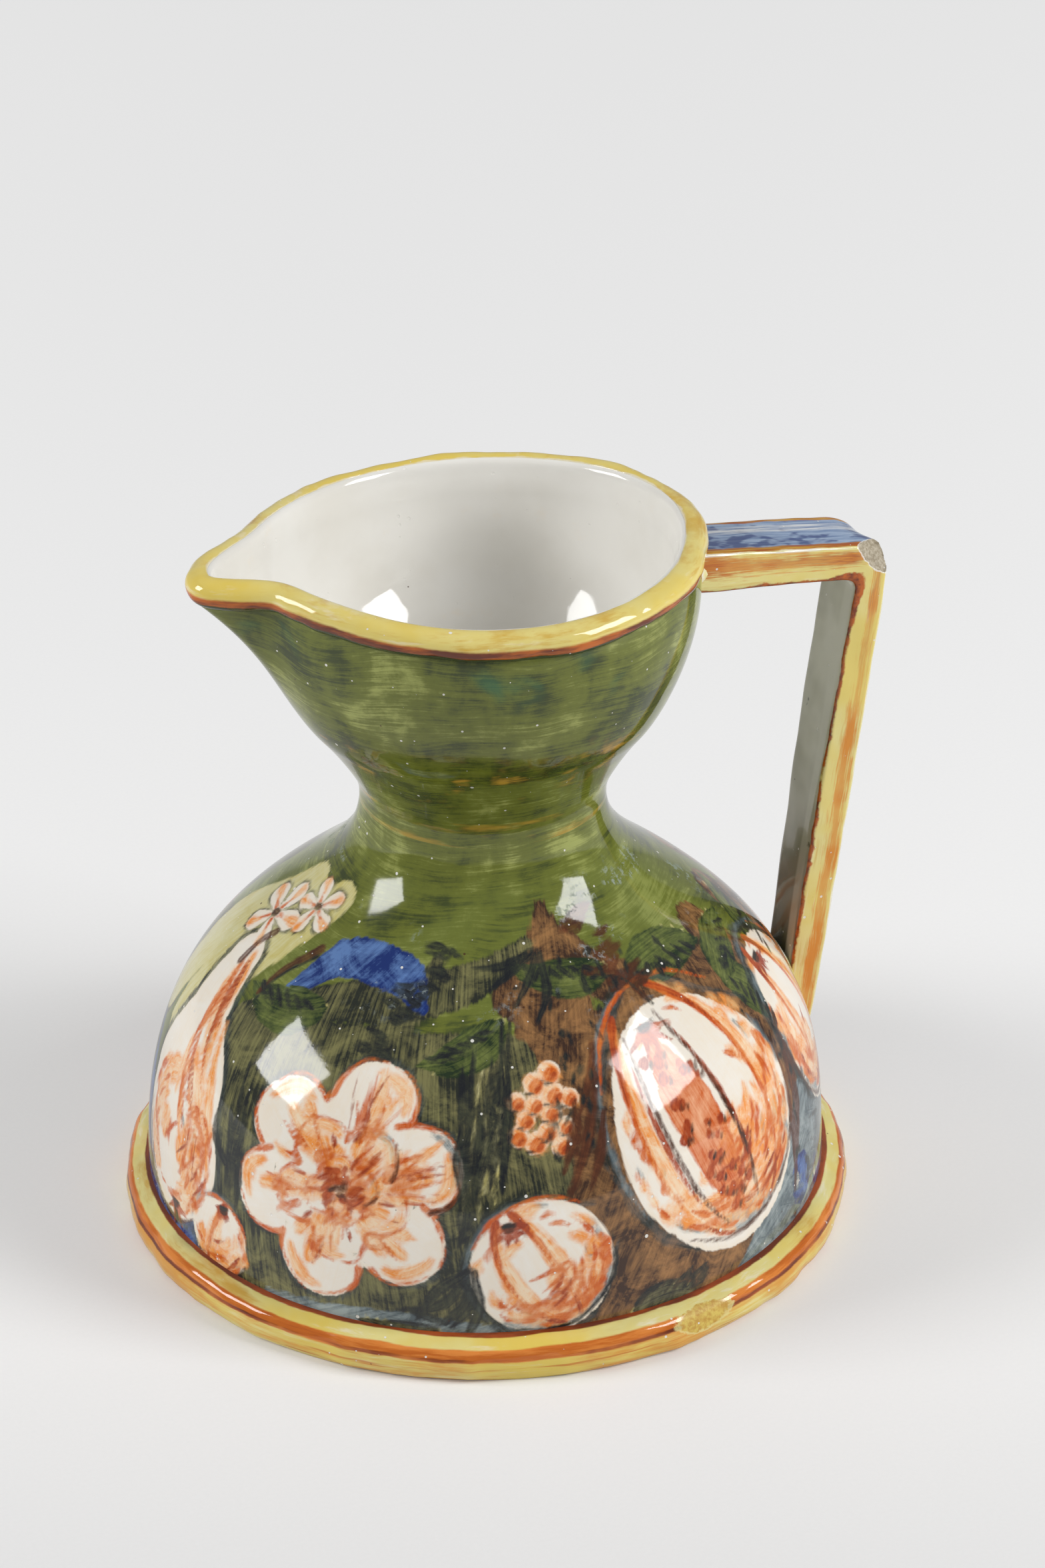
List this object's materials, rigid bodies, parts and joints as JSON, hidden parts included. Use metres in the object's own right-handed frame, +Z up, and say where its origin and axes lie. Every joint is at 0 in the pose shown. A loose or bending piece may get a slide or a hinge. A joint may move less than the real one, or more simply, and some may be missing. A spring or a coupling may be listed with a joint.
{
  "type": "ceramic pitcher",
  "caption": "Tin-glazed ceramic pitcher: a wide bell-shaped body on a moulded foot, a narrow waist, an open bowl drawn into a spout, a rolled rim and an angular strap handle.",
  "frame": {"origin": "on the body's turning axis, level with the flat underside it stands on", "axes": "+Z up along the turning axis; +X towards the handle; the spout points along -X"},
  "size_m": [0.2133, 0.2, 0.1984],
  "materials": {
    "bare_clay": "fired, unglazed, matte",
    "bell_glaze": "glossy tin glaze painted with a loose design of fruit and leaves in browns, rust, green, blue and white",
    "bowl_glaze": "glossy tin glaze brushed green outside, plain white inside",
    "foot_glaze": "glossy, painted in yellow and rust-orange bands",
    "rim_glaze": "glossy, painted lemon yellow with a rust-brown line along the outside",
    "handle_glaze": "glossy, yellow and orange on the sides, blue on top, grey inside",
    "luting_glaze": "glossy, hand-smoothed slip under ochre and cream glaze"
  },
  "bodies": {
    "root": {"floor_slab": "bare_clay", "bell_body": "bell_glaze", "foot_ring": "foot_glaze", "waist_luting": "luting_glaze", "upper_bowl": "bowl_glaze", "rim_coil": "rim_glaze", "handle_arm": "handle_glaze", "handle_upright": "handle_glaze", "rim_luting": "luting_glaze", "shoulder_luting": "luting_glaze"}
  },
  "joints": []
}
